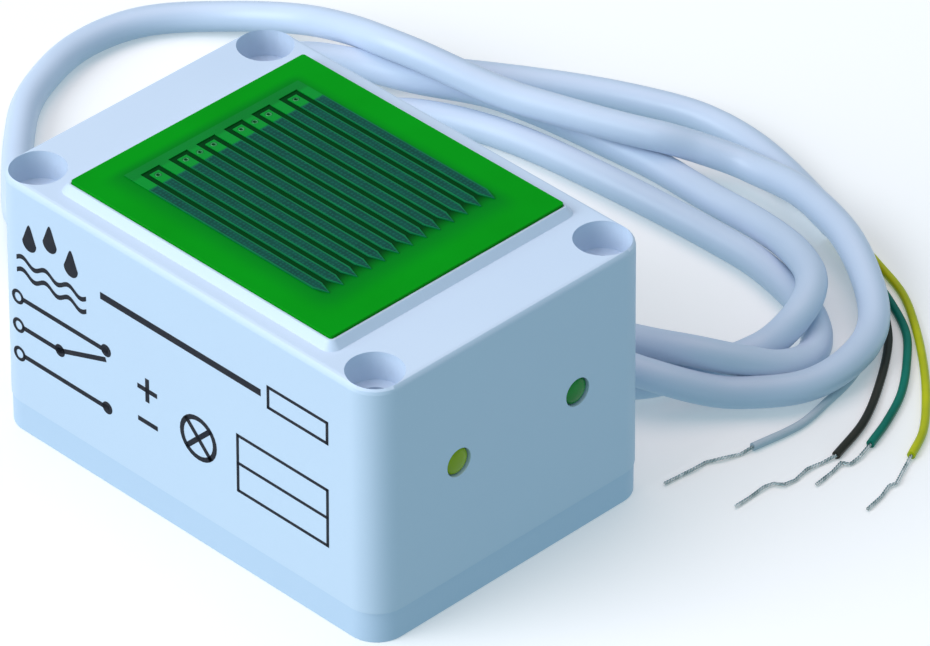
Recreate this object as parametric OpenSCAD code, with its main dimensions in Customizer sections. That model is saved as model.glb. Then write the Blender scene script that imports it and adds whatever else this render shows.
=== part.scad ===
/* [Case] */
// Length of the box along X
case_len = 72; // [66:1:90]
// Width of the box along Y
case_wid = 50; // [48:1:64]
// Height of the flat top above the table
case_top = 40; // [39:1:52]
// Wall of the housing
case_wall = 2.2; // [1.6:0.1:2.4]
// Thickness of the top
top_thick = 2.4; // [2:0.1:3]
// Radius of the upright corners
corner_r = 4.6; // [4.4:0.1:4.8]
// Rounding of the top edge
edge_r = 0.9; // [0.4:0.1:1]
// How far each side leans in from the seam to the top
case_draft = 0.2; // [0:0.1:0.3]

/* [Base plate] */
// Height of the base plate's band, up to the seam
base_h = 4.7; // [4:0.1:5.5]
// Thickness of the base plate's floor
base_floor = 2.5; // [2:0.1:3]
// How far the base plate stands back from the housing
base_inset = 0.15; // [0:0.05:0.3]
// Height of the locating ribs above the seam
rib_h = 2.2; // [1:0.1:3]
// Thickness of the locating ribs
rib_t = 1.4; // [1:0.1:1.8]
// Width of the sealing cord
seal_w = 1; // [0.6:0.1:1]
// Height of the sealing cord
seal_h = 0.8; // [0.5:0.1:1.2]

/* [Corner wells] */
// Diameter of the fixing hole
hole_d = 4.5; // [4:0.1:5]
// Diameter of the well for the screw head
well_d = 7.8; // [7:0.1:8]
// Depth of the well
well_deep = 4.3; // [3:0.1:6]
// Diameter of the post round the fixing hole
post_d = 9.8; // [9:0.1:10]

/* [Base screws] */
// Diameter of a base screw
base_screw_d = 2.9; // [2.5:0.1:3]
// Diameter of its countersunk head
base_screw_head_d = 5.6; // [5:0.1:6]
// Length of a base screw
base_screw_len = 12; // [10:1:14]
// Diameter of the boss that it enters
boss_d = 6.8; // [6:0.1:7]

/* [Sensor platform] */
// Gap between the wells and the platform's foot
plat_gap = 1.9; // [1.2:0.1:3]
// Width of the ledge beside the platform
plat_side = 2.8; // [2:0.1:4]
// Height of the platform above the top
plat_h = 1.2; // [0.8:0.1:1.6]
// Width of the platform's sloping flank
flank_w = 0.9; // [0.6:0.1:1.2]
// Shift of the platform along X
plat_dx = -0.3; // [-0.5:0.1:0]
// Thickness of the sensor board
sensor_t = 0.8; // [0.6:0.1:1.2]
// Width of the rim round the board
rim_w = 0.3; // [0.2:0.1:0.6]
// How far the board stands proud of the rim
board_proud = 0.4; // [0.2:0.1:0.5]
// Thickness of the adhesive frame
glue_t = 0.2; // [0.1:0.1:0.4]
// Width of the seat that carries the board, round the window
window_seat = 6.6; // [4:0.1:7]

/* [Sensor strips] */
// Number of strips
strip_count = 13; // [13:2:15]
// Distance between two strips
strip_pitch = 2.47; // [1.8:0.01:2.5]
// Width of one strip
strip_w = 1.6; // [0.8:0.1:1.7]
// Distance from the board's end to the strips' square ends
strip_start = 8.9; // [7.5:0.1:10]
// Distance from the strips' points to the board's other end
strip_end = 6.9; // [3:0.1:9]
// Shift of the comb along Y
comb_dy = 0.3; // [-0.6:0.1:0.6]
// Length of the point
tip_len = 2.2; // [1:0.1:3]
// Thickness of the strips and tracks
copper_t = 0.15; // [0.1:0.05:0.3]

/* [Indicator lights] */
// Height of the lights above the table
led_z = 22.4; // [22:0.1:24]
// Diameter of the light's body
led_d = 3.9; // [3:0.1:4]
// Diameter of the hole round it
led_hole_d = 4.2; // [4.1:0.1:4.6]
// Distance from the front wells' line to the yellow light
led_yellow_in = 10.4; // [9:0.1:12]
// Distance from the back wells' line to the green light
led_green_in = 8.9; // [8.5:0.1:12]

/* [Main board] */
// Thickness of the main board
board_t = 1.6; // [1.2:0.1:2]
// Height of the main board's upper face
board_z = 19; // [18.5:0.1:19.5]
// Gap along X between a pillar and the corner post
pillar_gap = 2.7; // [2:0.1:3.2]
// Distance from the inner wall to a pillar's middle
pillar_in = 5.1; // [4.6:0.1:5.6]
// Diameter of a pillar
pillar_d = 5.6; // [5.2:0.1:6]

/* [Relay] */
// Length of the relay's cover
relay_len = 19; // [18.8:0.1:20]
// Width of the relay's cover
relay_wid = 15.5; // [14:0.1:16]
// Height of the relay's cover
relay_h = 15.6; // [15.5:0.1:16]
// Wall of the relay's cover
relay_wall = 0.6; // [0.4:0.1:0.6]
// Distance from the main board's end to the relay's middle
relay_in = 18.5; // [18:0.5:20]

/* [Cable] */
// Diameter of the cable's jacket
cable_d = 4.4; // [4:0.1:4.4]
// Height of the cable's exit above the table
cable_z = 12; // [11.5:0.5:12.5]
// Diameter of one wire
wire_d = 1.2; // [1:0.05:1.2]
// Diameter of a wire's bare end
bare_d = 0.7; // [0.4:0.05:0.8]

/* [Hidden] */
$fn = 48;

// Corner facets of the faceted outer shells
shell_fn = 32;
// Thickness of the slices that a shell is drawn through
slice = 0.01;
// Overrun of every cut
cut = 1;
// Gap between pieces that slide together
fit = 0.1;

// Places of the four corners, as signs
corner_shares = [[-1, -1], [1, -1], [1, 1], [-1, 1]];

// Derived sizes of the case
inner_len = case_len - 2 * case_wall - 2 * case_draft;
inner_wid = case_wid - 2 * case_wall - 2 * case_draft;
inner_r = corner_r - case_wall;
ceiling_z = case_top - top_thick;
hole_dx = case_len - 2 * corner_r;
hole_dy = case_wid - 2 * corner_r;
plat_len = hole_dx - well_d - 2 * plat_gap - 2 * flank_w;
plat_wid = case_wid - 2 * plat_side - 2 * flank_w;
plat_top_z = case_top + plat_h;
recess_z = plat_top_z + board_proud - sensor_t - glue_t;
sensor_z = recess_z + glue_t;
sensor_top_z = sensor_z + sensor_t;
sensor_len = plat_len - 2 * rim_w - 2 * fit;
sensor_wid = plat_wid - 2 * rim_w - 2 * fit;
recess_len = plat_len - 2 * rim_w;
recess_wid = plat_wid - 2 * rim_w;
window_len = recess_len - 2 * window_seat;
window_wid = recess_wid - 2 * window_seat;
// Corner radius of the platform and of the board
plat_r = 0.8;
board_r = 0.4;
recess_r = 0.5;

// How far a boss sinks into the wall beside it
boss_sink = 0.4;
boss_gap = 0.8;
pillar_dx = hole_dx - post_d - pillar_d - 2 * pillar_gap;
pillar_dy = inner_wid - 2 * pillar_in;
base_screw_dx = pillar_dx - pillar_d - boss_d - 2 * boss_gap;
base_screw_dy = inner_wid - boss_d + 2 * boss_sink;

// Base plate
seal_out = 0.6;
floor_len = case_len - 2 * case_wall;
floor_wid = case_wid - 2 * case_wall;
// Gaps and lengths of the locating ribs
rib_boss_gap = 2.1;
rib_post_gap = 4.5;
rib_len_x = base_screw_dx - boss_d - 2 * rib_boss_gap;
rib_len_y = hole_dy - post_d - 2 * rib_post_gap;
// Base screws
base_head_h = 1.6;
base_head_low = 0.2;
pilot_gap = 0.05;
screw_tip_gap = 0.5;
boss_cap = 1.8;
boss_top_z = base_head_low + base_screw_len + screw_tip_gap + boss_cap;
drive_d = 1.8;
drive_deep = 1;

// Sensor board's pads and holes
via_d = 0.9;
via_bore_d = 0.5;
via_gap = 0.03;
strip_x0 = strip_start - sensor_len / 2;
strip_x1 = sensor_len / 2 - strip_end;
pad_len = 2.5;
bus_w = 1.4;
bus_gap = 0.8;
via_x = strip_x0 - pad_len + strip_w / 2;
bus_x = strip_x0 - pad_len - bus_gap;
strip_y0 = comb_dy - (strip_count - 1) / 2 * strip_pitch;
// Strips whose pad has a plated hole: every second one, and every fourth of the others
via_strips = [for (i = [1:strip_count - 2]) if (i % 2 == 1 || i % 4 == 0) i];

// Heater resistors under the sensor board
heater_size = [3.2, 1.6, 0.6];

// Contact pins between the two boards
pin_count = 4;
pin_pitch = 2.54;
pin_d = 0.64;
pin_share = 0.38;
pin_x = pin_share * window_len;
pin_below = 1;
pin_hole_d = 0.9;
pin_strip_w = 2.5;
pin_strip_h = 2.5;

// Indicator lights
led_yellow_y = led_yellow_in - hole_dy / 2;
led_green_y = hole_dy / 2 - led_green_in;
led_sunk = 0.1;
led_tip_x = case_len / 2 - led_sunk;
led_len = 5.3;
led_flange_d = 4.8;
led_flange_t = 1;
led_lead_d = 0.6;
led_lead_gap = 2.54;
led_back = 2.2;
led_below = 1;
led_flange_x = led_tip_x - led_len;
led_bend_x = led_flange_x - led_back;

// Main board
board_under_z = board_z - board_t;
board_post_gap = 0.7;
board_wall_gap = 0.8;
board_end = 0.6;
board_len = 2 * (led_bend_x + board_end);
board_mid_len = hole_dx - post_d - 2 * board_post_gap;
board_wid = inner_wid - 2 * board_wall_gap;
board_mid_wid = hole_dy - post_d - 2 * board_post_gap;
board_corner_r = 0.6;
board_screw_d = 2.2;
board_screw_len = 8;
board_screw_head_d = 4.4;
board_screw_head_h = 1.6;
pilot_d = 2.3;
pilot_deep = 8;
board_hole_d = 2.8;
lead_hole_d = 0.8;

// Relay, in heights above the main board
relay_base_h = 1.6;
yoke_t = 1.2;
yoke_w = 9;
yoke_gap = 0.9;
relay_x = relay_in - board_len / 2;
relay_in_x = relay_len / 2 - relay_wall;
relay_in_y = relay_wid / 2 - relay_wall;
yoke_x = yoke_gap - relay_in_x;
yoke_top = 12;
core_d = 3.2;
pole_d = 6.4;
pole_t = 1;
pole_top = 11.4;
bobbin_d = 9.2;
bobbin_gap = 1.2;
core_x = yoke_x + yoke_t + bobbin_gap + bobbin_d / 2;
foot_beyond = 0.4;
yoke_foot_len = core_x + bobbin_d / 2 + foot_beyond - yoke_x;
bobbin_bore_d = 3.3;
bobbin_tube_d = 4.2;
bobbin_flange = 0.8;
bobbin_top = 10.3;
coil_d = 8.6;
coil_gap = 0.05;
armature_gap = 0.1;
armature_t = 1.2;
armature_w = 8.4;
armature_back = 0.6;
armature_beyond = 0.2;
armature_len = core_x + pole_d / 2 + armature_beyond - yoke_x + armature_back;
armature_z = yoke_top + armature_gap;
arm_t = 0.3;
arm_w = 4;
arm_root = 1;
button_d = 1.8;
button_t = 0.6;
rivet_d = 1.4;
rivet_t = 0.3;
fixed_t = 0.3;
fixed_post_t = 0.4;
fixed_post_w = 2;
fixed_post_gap = 0.8;
fixed_post_x = relay_in_x - fixed_post_gap;
fixed_post_y = 3;
button_in = 1.5;
button_x = fixed_post_x - button_in;
arm_tip_x = button_x + button_d / 2;
arm_len = arm_tip_x - core_x + arm_root;
fixed_button_t = 0.15;
no_contact_z = 11.3;
nc_button_t = 0.25;
nc_gap = 0.05;
relay_pin_d = 0.9;
relay_pin_hole_d = 1.1;
relay_pin_below = 1.2;
relay_pin_in_x = 1.9;
relay_pin_in_y = 1.15;
relay_pin_x = relay_pin_in_x - relay_in_x;
relay_pin_y = relay_in_y - relay_pin_in_y;
contact_pin_in = 1;
contact_pin_x = relay_in_x - contact_pin_in;

// Other parts on the main board: places as shares of its half length and half width
function on_board(share) = [share[0] * board_len / 2, share[1] * board_wid / 2, 0];
chip_shares = [0.2, -0.56];
regulator_shares = [0.74, -0.41];
transistor_shares = [0.1, 0.48];
cap_big_shares = [0.74, 0.37];
cap_small_shares = [0.52, -0.42];
resistor_shares = [0.38, 0.38];
diode_shares = [-0.2, 0.55];
chip_size = [9.4, 6.4, 3.2];
chip_lift = 0.8;
leg_count = 4;
leg_w = 0.5;
leg_t = 0.25;
leg_out = 0.45;
to92_d = 4.6;
to92_h = 4.6;
to92_flat = 1.2;
to92_lift = 3;
to92_leg_pitch = 1.27;
to92_leg_d = 0.45;
cap_big_d = 6.3;
cap_big_h = 11;
cap_small_d = 5;
cap_small_h = 8;
cap_lift = 0.6;
cap_lead_gap = 2;
part_lead_d = 0.5;
axial_d = 2.2;
axial_len = 6;
axial_out = 1.6;
axial_lift = 1.4;
resistor_pitch = 3;
resistor_count = 3;
diode_d = 2.7;
diode_len = 5.2;

// Cable fittings
grommet_flange_d = 9;
grommet_flange_t = 1.2;
grommet_inner_d = 8.6;
grommet_neck_d = 7;
grommet_nose_d = 6.4;
grommet_nose_tip_d = 5.4;
grommet_nose_len = 5.8;
grommet_bore_gap = 0.05;
cable_hole_d = 7.2;
cable_start_x = -case_len / 2 - grommet_flange_t - grommet_nose_len;
cable_inside_len = 9.6;
cable_end_x = cable_inside_len - inner_len / 2;
tie_w = 2.5;
tie_t = 1.1;
tie_gap = 0.05;
tie_head = 3.6;

// Sides of the swept tubes
cable_sides = 8;
wire_sides = 8;

// Route of the cable from beyond the grommet's nose, over the table, to the end of its jacket
cable_route = [
    [-51, 0, 10.8], [-60, 2, 6.4], [-68, 7.5, 2.8], [-83, 22, 2.2], [-88, 30, 2.2],
    [-91, 40.5, 2.2], [-89, 51, 2.2], [-81.5, 59.5, 2.6], [-71.5, 64, 4.8], [-61.5, 64.5, 7.6],
    [-51, 64.5, 9.4], [-31.5, 70.5, 6.8], [-13.5, 77, 6.8], [-8, 81, 5.2], [-2, 83.5, 4.2],
    [9.1, 82.4, 5.8], [19.6, 79.4, 6], [29.3, 74.2, 4.8], [35.5, 68.5, 3.8], [38.5, 61, 3.6],
    [38, 53, 3.2], [33, 46, 3], [24, 37, 6], [12, 34, 6.8], [-8, 33.5, 3.6], [-28, 34.5, 2.2],
    [-44, 40, 2.2], [-51.5, 50, 2.2], [-48, 59.5, 2.2], [-38, 65.5, 2.2], [-23.5, 68.5, 2.2],
    [9.5, 70, 2.2], [21, 68, 2.2], [28, 65, 2.2], [32.5, 60, 2.2], [33, 53.5, 3.6],
    [30, 48, 5.8], [25.5, 44, 7], [18.5, 42, 5.9], [3, 40, 2.8], [-16, 40, 2.2], [-34, 41, 4.2],
    [-45, 41.5, 6.8], [-54, 43, 6.9], [-61, 48, 6.9], [-63, 55, 6.4], [-58, 61, 5.3],
    [-49.5, 65.5, 4.6], [-39, 72.5, 3.2], [-16, 76.5, 2.2], [-2, 76, 2.6], [10, 74.5, 4], [19.5, 71, 6],
    [26, 66.5, 7], [29, 60.5, 6.2], [28, 54.5, 3.4], [23.5, 43.5, 2.2], [20, 37.5, 2.2],
    [6, 29.5, 2.2], [-14, 28, 2.2], [-36, 29, 2.2], [-55, 33, 2.2], [-66.5, 41, 2.2],
    [-70, 50, 2.2], [-67, 58.5, 2.2], [-60, 64, 2.2], [-53.5, 69.5, 2.2], [-37, 80.5, 2.2],
    [-25.5, 86.5, 2.2], [-15.5, 90, 2.2], [-4, 89.2, 2.2], [14.2, 84, 2.2]];

// Routes of the wires, from the end of the jacket to the end of the insulation
yellow_route = [[14.4, 84.7, 1.5], [18.8, 84.2, 0.8], [24, 82.6, 0.6], [30.5, 80, 0.6], [37, 75.5, 0.6],
    [43.5, 70, 0.6], [49, 64.5, 0.6], [53.5, 59, 0.6], [56, 54, 0.6]];
green_route = [[14, 83.3, 1.5], [18.6, 82.2, 0.8], [24.3, 80.2, 0.6], [30.5, 77.5, 0.6], [36.5, 74, 0.6],
    [40.5, 70, 0.6], [45.5, 63.5, 0.6], [48.5, 57.5, 0.6], [50.5, 52, 0.6]];
brown_route = [[14.4, 84.7, 2.9], [18.2, 83.3, 2.6], [22.4, 81.3, 2.2], [27.7, 78, 1.8], [32.1, 74.6, 1.1],
    [36.5, 70.6, 0.6], [42, 63, 0.6], [46.5, 55, 0.6], [49, 47, 0.6]];
white_route = [[14, 83.3, 2.9], [16.6, 82.2, 2.6], [20.6, 80, 1.3], [25, 77.2, 0.6], [29, 74.2, 0.6],
    [33, 70.6, 0.6], [36.5, 66, 0.6], [38.8, 60.5, 0.6], [40, 55, 0.6], [41, 48.5, 0.6], [40, 40.5, 0.6]];

// The bare ends go on from there
yellow_bare = [[56, 54, 0.6], [58.5, 48.5, 0.5], [59.5, 45, 0.4], [60, 41, 0.4]];
green_bare = [[50.5, 52, 0.6], [51.5, 48.5, 0.5], [51, 46, 0.4], [51.5, 40.5, 0.4]];
brown_bare = [[49, 47, 0.6], [49, 44, 0.5], [48.5, 37.5, 0.4], [47.5, 29.5, 0.4]];
white_bare = [[40, 40.5, 0.6], [38, 33, 0.4], [37.5, 26.5, 0.4]];

// Routes of the leads inside the case, from the cable's inner end to the main board
lead_spread = 0.75;
lead_count = 4;
lead_pitch = 3;
lead_in = 10.5;
lead_rise = 2.2;

// Places of the four corners of a rectangle
function corners(dx, dy) = [for (s = corner_shares) [s[0] * dx / 2, s[1] * dy / 2]];
// Y of a strip of the comb
function strip_y(i) = strip_y0 + i * strip_pitch;
// Direction of a path at a point, and at its end
function unit(v) = v / norm(v);
function along(path, i) = unit(path[min(i + 1, len(path) - 1)] - path[max(i - 1, 0)]);
function heading(path) = along(path, len(path) - 1);
// Points of one ring of a swept tube; its path never runs along the reference direction
function ring(p, t, r, n, across) =
    let (side = unit(cross(t, across)), rise = cross(side, t))
    [for (k = [0:n - 1]) p + r * (cos(360 * k / n) * side + sin(360 * k / n) * rise)];

// Tube along a path, whose first and last rings may face given directions
module tube(path, d, n, first = undef, final = undef, across = [0, 0, 1]) {
    last = len(path) - 1;
    t = [for (i = [0:last]) i == 0 && first != undef ? first
        : i == last && final != undef ? final : along(path, i)];
    points = [for (i = [0:last]) each ring(path[i], t[i], d / 2, n, across)];
    walls = [for (i = [0:last - 1]) for (k = [0:n - 1])
        let (a = i * n + k, b = i * n + (k + 1) % n)
        each [[a, b, a + n], [b, b + n, a + n]]];
    caps = [for (k = [1:n - 2]) each [[0, k + 1, k], [last * n, last * n + k, last * n + k + 1]]];
    polyhedron(points, concat(walls, caps), convexity = 10);
}

// Rectangle with round corners, centred
module rounded(l, w, r) {
    square([l - 2 * r, w], center = true);
    square([l, w - 2 * r], center = true);
    for (p = corners(l - 2 * r, w - 2 * r))
        translate(p)
            circle(r = r);
}

// Plate with round corners between two heights
module slab(l, w, r, low, high) {
    translate([0, 0, low])
        linear_extrude(high - low)
            rounded(l, w, r);
}

// Upright cylinder between two heights
module post(d, low, high) {
    translate([0, 0, low])
        cylinder(d = d, h = high - low);
}

// Cylinder along X between two places
module rod_x(d, from, to) {
    translate([from, 0, 0])
        rotate([0, 90, 0])
            cylinder(d = d, h = to - from);
}

// Thin slice for the hull of a shell
module shell_slice(l, w, r, z) {
    translate([0, 0, z])
        linear_extrude(slice)
            rounded(l, w, r, $fn = shell_fn);
}

// Outside of the housing, with leaning sides and a rounded top edge
module case_shell() {
    top_l = case_len - 2 * case_draft;
    top_w = case_wid - 2 * case_draft;
    hull() {
        shell_slice(case_len, case_wid, corner_r, base_h);
        for (a = [0:30:90])
            shell_slice(top_l - 2 * edge_r * (1 - cos(a)), top_w - 2 * edge_r * (1 - cos(a)),
                corner_r - edge_r * (1 - cos(a)), case_top - edge_r * (1 - sin(a)) - slice);
    }
}

// Raised platform with sloping flanks
module platform() {
    translate([plat_dx, 0, 0])
        hull() {
            shell_slice(plat_len + 2 * flank_w, plat_wid + 2 * flank_w, plat_r + flank_w, case_top - slice);
            shell_slice(plat_len, plat_wid, plat_r, plat_top_z - slice);
        }
}

// Places of one indicator light
module at_light(y) {
    translate([0, y, led_z])
        children();
}

// White moulded housing: the box without its bottom
module housing() color([0.93, 0.95, 0.98]) {
    difference() {
        union() {
            difference() {
                case_shell();
                slab(inner_len, inner_wid, inner_r, base_h - cut, ceiling_z);
            }
            intersection() {
                case_shell();
                for (p = corners(hole_dx, hole_dy))
                    translate(p)
                        post(post_d, base_h, case_top);
            }
            for (p = corners(base_screw_dx, base_screw_dy))
                translate(p)
                    post(boss_d, base_h, boss_top_z);
            platform();
        }
        for (p = corners(hole_dx, hole_dy))
            translate(p) {
                post(hole_d, base_h - cut, case_top + cut);
                post(well_d, case_top - well_deep, case_top + cut);
            }
        for (p = corners(base_screw_dx, base_screw_dy))
            translate(p)
                post(base_screw_d + 2 * pilot_gap, base_h - cut, boss_top_z - boss_cap);
        translate([plat_dx, 0, 0]) {
            slab(recess_len, recess_wid, recess_r, recess_z, plat_top_z + cut);
            slab(window_len, window_wid, inner_r, ceiling_z - cut, recess_z + cut);
        }
        for (y = [led_yellow_y, led_green_y])
            at_light(y)
                rod_x(led_hole_d, inner_len / 2 - cut, case_len / 2 + cut);
        translate([0, 0, cable_z])
            rod_x(cable_hole_d, -case_len / 2 - cut, -inner_len / 2 + cut);
    }
}

// White bottom plate with the pillars for the main board
module base_plate() color([0.9, 0.94, 0.97]) {
    base_len = case_len - 2 * base_inset;
    base_wid = case_wid - 2 * base_inset;
    base_r = corner_r - base_inset;
    rib_x = inner_len / 2 - fit - rib_t / 2;
    rib_y = inner_wid / 2 - fit - rib_t / 2;
    groove_len = base_len - 2 * seal_out;
    groove_wid = base_wid - 2 * seal_out;
    difference() {
        union() {
            difference() {
                slab(base_len, base_wid, base_r, 0, base_h);
                slab(floor_len, floor_wid, inner_r, base_floor, base_h + cut);
            }
            intersection() {
                slab(base_len, base_wid, base_r, 0, base_h);
                for (p = corners(hole_dx, hole_dy))
                    translate(p)
                        post(post_d, 0, base_h);
            }
            for (p = corners(base_screw_dx, base_screw_dy))
                translate(p)
                    post(boss_d, 0, base_h);
            for (p = corners(pillar_dx, pillar_dy))
                translate(p)
                    post(pillar_d, 0, board_under_z);
            for (s = [-1, 1]) {
                translate([0, s * rib_y, base_floor])
                    linear_extrude(base_h - base_floor + rib_h)
                        square([rib_len_x, rib_t], center = true);
                translate([s * rib_x, 0, base_floor])
                    linear_extrude(base_h - base_floor + rib_h)
                        square([rib_t, rib_len_y], center = true);
            }
        }
        for (p = corners(hole_dx, hole_dy))
            translate(p)
                post(hole_d, -cut, base_h + cut);
        for (p = corners(base_screw_dx, base_screw_dy))
            translate(p) {
                post(base_screw_d + 2 * fit, -cut, base_h + cut);
                screw_cone(fit);
            }
        for (p = corners(pillar_dx, pillar_dy))
            translate(p)
                post(pilot_d, board_under_z - pilot_deep, board_under_z + cut);
        difference() {
            slab(groove_len, groove_wid, base_r - seal_out, base_h - seal_h, base_h + cut);
            slab(groove_len - 2 * seal_w, groove_wid - 2 * seal_w, base_r - seal_out - seal_w,
                base_h - seal_h - cut, base_h + 2 * cut);
        }
    }
}

// Round of a countersunk head, wider by a gap
module screw_cone(gap) {
    rotate_extrude()
        polygon([[0, -gap], [base_screw_head_d / 2 + gap, -gap], [base_screw_head_d / 2 + gap, base_head_low],
            [base_screw_d / 2 + gap, base_head_low + base_head_h], [0, base_head_low + base_head_h]]);
}

// Grey sealing cord in the base plate's groove
module case_seal() color([0.35, 0.36, 0.38]) {
    out = base_inset + seal_out;
    translate([0, 0, base_h - seal_h])
        linear_extrude(seal_h)
            difference() {
                rounded(case_len - 2 * out, case_wid - 2 * out, corner_r - out);
                rounded(case_len - 2 * out - 2 * seal_w, case_wid - 2 * out - 2 * seal_w,
                    corner_r - out - seal_w);
            }
}

// Four countersunk screws that hold the base plate from below
module base_screws() color([0.75, 0.75, 0.77]) {
    for (p = corners(base_screw_dx, base_screw_dy))
        translate(p)
            difference() {
                union() {
                    screw_head();
                    post(base_screw_d, base_head_low, base_head_low + base_screw_len);
                }
                post(drive_d, 0, base_head_low + drive_deep);
            }
}

// Head of a countersunk screw
module screw_head() {
    translate([0, 0, base_head_low])
        cylinder(d1 = base_screw_head_d, d2 = base_screw_d, h = base_head_h);
}

// Green printed board with plated holes
module sensor_board() color([0, 0.6, 0.12]) {
    translate([plat_dx, 0, sensor_z])
        linear_extrude(sensor_t)
            difference() {
                rounded(sensor_len, sensor_wid, board_r);
                via_holes();
            }
}

// Outlines of the plated holes
module via_holes() {
    for (i = via_strips)
        translate([via_x, strip_y(i)])
            circle(d = via_d + 2 * via_gap);
}

// Comb of pointed strips
module sensor_strips() color([0, 0.3, 0.26]) {
    for (i = [0:strip_count - 1])
        translate([plat_dx, strip_y(i), sensor_top_z])
            linear_extrude(copper_t)
                polygon([[strip_x0, -strip_w / 2], [strip_x1 - tip_len, -strip_w / 2], [strip_x1, 0],
                    [strip_x1 - tip_len, strip_w / 2], [strip_x0, strip_w / 2]]);
}

// Common track with a neck to every second strip, and a pad for each of the others
module sensor_tracks() color([0, 0.5, 0.16]) {
    last_y = strip_y(strip_count - 1);
    translate([plat_dx, 0, sensor_top_z])
        linear_extrude(copper_t)
            difference() {
                union() {
                    translate([bus_x - bus_w, strip_y0 - strip_w / 2])
                        square([bus_w, last_y - strip_y0 + strip_w]);
                    for (i = [0:2:strip_count - 1])
                        translate([bus_x - bus_w, strip_y(i) - strip_w / 2])
                            square([bus_w + bus_gap + pad_len, strip_w]);
                    for (i = [1:2:strip_count - 1])
                        translate([strip_x0 - pad_len, strip_y(i) - strip_w / 2])
                            square([pad_len, strip_w]);
                }
                via_holes();
            }
}

// Plated holes of the pads
module sensor_vias() color([0.7, 0.72, 0.7]) {
    for (i = via_strips)
        translate([plat_dx + via_x, strip_y(i), sensor_z])
            linear_extrude(sensor_t + copper_t)
                difference() {
                    circle(d = via_d);
                    circle(d = via_bore_d);
                }
}

// Sticky frame under the sensor board
module board_adhesive() color([0.85, 0.83, 0.75]) {
    translate([plat_dx, 0, recess_z])
        linear_extrude(glue_t)
            difference() {
                rounded(sensor_len, sensor_wid, board_r);
                rounded(window_len, window_wid, inner_r);
            }
}

// Four flat resistors that warm the sensor board
module heater_resistors() color([0.15, 0.15, 0.16]) {
    for (p = corners(window_len / 2, window_wid / 2))
        translate([p[0], p[1], sensor_z - heater_size[2] / 2])
            cube(heater_size, center = true);
}

// Places of the pins between the two boards
module at_pins() {
    for (k = [0:pin_count - 1])
        translate([pin_x, (k - (pin_count - 1) / 2) * pin_pitch, 0])
            children();
}

// Pins that join the sensor board to the main board
module contact_pins() color([0.85, 0.7, 0.35]) {
    at_pins()
        post(pin_d, board_under_z - pin_below, sensor_z);
}

// Plastic strip that holds the pins
module contact_strip() color([0.1, 0.1, 0.1]) {
    difference() {
        translate([pin_x, 0, board_z])
            linear_extrude(pin_strip_h)
                square([pin_strip_w, pin_count * pin_pitch], center = true);
        at_pins()
            post(pin_d + 2 * pilot_gap, board_z - cut, board_z + pin_strip_h + cut);
    }
}

// Places of the relay's pins
module at_relay_pins() {
    translate([relay_x, 0, 0]) {
        for (s = [-1, 0, 1])
            translate([relay_pin_x, s * relay_pin_y, 0])
                children();
        for (s = [-1, 1])
            translate([contact_pin_x, s * (fixed_post_y + fixed_post_w / 2), 0])
                children();
    }
}

// Places of the legs of both lights
module at_light_legs() {
    for (y = [led_yellow_y, led_green_y])
        for (s = [-1, 1])
            translate([led_bend_x, y + s * led_lead_gap / 2, 0])
                children();
}

// Main printed board
module main_board() color([0.05, 0.35, 0.15]) {
    difference() {
        union() {
            slab(board_len, board_mid_wid, board_corner_r, board_under_z, board_z);
            slab(board_mid_len, board_wid, board_corner_r, board_under_z, board_z);
        }
        for (p = corners(pillar_dx, pillar_dy))
            translate(p)
                post(board_hole_d, board_under_z - cut, board_z + cut);
        at_relay_pins()
            post(relay_pin_hole_d, board_under_z - cut, board_z + cut);
        at_light_legs()
            post(lead_hole_d, board_under_z - cut, board_z + cut);
        at_pins()
            post(pin_hole_d, board_under_z - cut, board_z + cut);
    }
}

// Four screws that hold the main board on its pillars
module board_screws() color([0.75, 0.75, 0.77]) {
    for (p = corners(pillar_dx, pillar_dy))
        translate(p)
            difference() {
                union() {
                    post(board_screw_d, board_z - board_screw_len, board_z);
                    post(board_screw_head_d, board_z, board_z + board_screw_head_h);
                }
                post(drive_d, board_z + board_screw_head_h - drive_deep, board_z + board_screw_head_h + cut);
            }
}

// Body of one indicator light: flange, barrel and dome
module light(y) {
    at_light(y) {
        rod_x(led_flange_d, led_flange_x, led_flange_x + led_flange_t);
        rod_x(led_d, led_flange_x, led_tip_x - led_d / 2);
        translate([led_tip_x - led_d / 2, 0, 0])
            sphere(d = led_d);
    }
}

// Yellow-green indicator light
module led_yellow() color([0.75, 0.85, 0.2]) {
    light(led_yellow_y);
}

// Green indicator light
module led_green() color([0.1, 0.75, 0.3]) {
    light(led_green_y);
}

// Legs of the lights, bent down to the main board
module led_leads() color([0.8, 0.8, 0.82]) {
    at_light_legs() {
        translate([0, 0, led_z])
            rod_x(led_lead_d, 0, led_back);
        translate([0, 0, led_z])
            sphere(d = led_lead_d);
        post(led_lead_d, board_under_z - led_below, led_z);
    }
}

// Relay: places in its own frame, from the main board's upper face
module at_relay() {
    translate([relay_x, 0, board_z])
        children();
}

// Plastic base of the relay
module relay_base() color([0.12, 0.12, 0.13]) {
    at_relay()
        translate([0, 0, relay_base_h / 2])
            cube([relay_len - 2 * relay_wall - 2 * fit, relay_wid - 2 * relay_wall - 2 * fit, relay_base_h],
                center = true);
}

// Cover of the relay, open below
module relay_cover() color([0.1, 0.25, 0.55]) {
    at_relay()
        difference() {
            translate([0, 0, relay_h / 2])
                cube([relay_len, relay_wid, relay_h], center = true);
            translate([0, 0, (relay_h - relay_wall - cut) / 2])
                cube([relay_len - 2 * relay_wall, relay_wid - 2 * relay_wall, relay_h - relay_wall + cut],
                    center = true);
        }
}

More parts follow.
